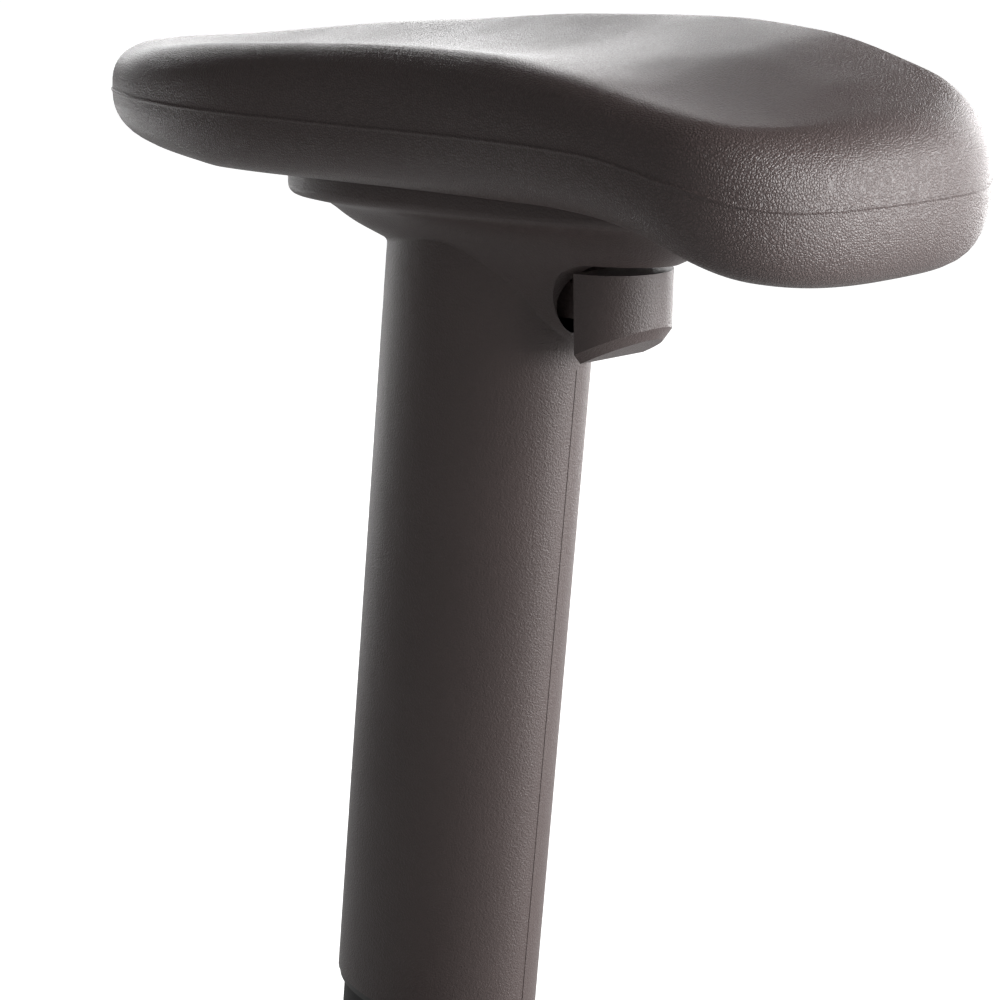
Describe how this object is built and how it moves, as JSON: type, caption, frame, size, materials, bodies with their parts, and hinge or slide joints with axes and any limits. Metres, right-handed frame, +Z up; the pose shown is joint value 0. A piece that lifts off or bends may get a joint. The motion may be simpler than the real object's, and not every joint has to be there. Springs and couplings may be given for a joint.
{
  "type": "chair armrest",
  "caption": "Height-adjustable chair armrest: padded drooping arm on a flared oval sleeve with a finger lever, sliding on a notched steel upright with a slotted seat plate.",
  "frame": {"origin": "centre of the seat plate's two slots, on the plate's top face", "axes": "+Z up, +X towards the front of the chair, +Y outboard, away from the seat"},
  "size_m": [0.2498, 0.2022, 0.2968],
  "materials": {
    "pad_skin": "charcoal polyurethane skin with a fine pebble grain, satin",
    "moulded_black": "charcoal moulded nylon, fine spark texture",
    "insert_plastic": "black glass-filled plastic",
    "glide_plastic": "natural acetal",
    "plated_steel": "zinc-plated",
    "painted_steel": "black powder coat",
    "spring_steel": "bright drawn wire",
    "bush_brass": "turned",
    "boot_rubber": "matt black"
  },
  "bodies": {
    "bracket": {"upright_bar": "painted_steel", "glide_shoe": "glide_plastic", "shoe_pin": "plated_steel", "seat_plate": "painted_steel", "weld_beads": "painted_steel", "foot_boot": "boot_rubber"},
    "arm": {"arm_pad": "pad_skin", "pad_insert": "insert_plastic", "threaded_bushes": "bush_brass", "pad_studs": "plated_steel", "carrier_plate": "plated_steel", "carrier_screws": "plated_steel", "lock_screw": "plated_steel", "sleeve": "moulded_black", "sleeve_collar": "glide_plastic", "stop_screw": "plated_steel", "pivot_pin": "plated_steel", "return_spring": "spring_steel"},
    "lever": {"release_lever": "moulded_black", "lock_tooth": "plated_steel", "tooth_rivets": "plated_steel"}
  },
  "joints": [
    {"name": "height_slide", "type": "slide", "parent": "bracket", "child": "arm", "axis": [0.1045, 0, 0.9945], "range_m": [0, 0.08]},
    {"name": "lever_pull", "type": "hinge", "parent": "arm", "child": "lever", "pos_m": [0.04606, 0.095, 0.22781], "axis": [0, -1, 0], "range_deg": [0, 2.9], "stiffness_Nm_per_rad": 2, "springref_deg": -5.73, "deforming": ["return_spring"]}
  ]
}
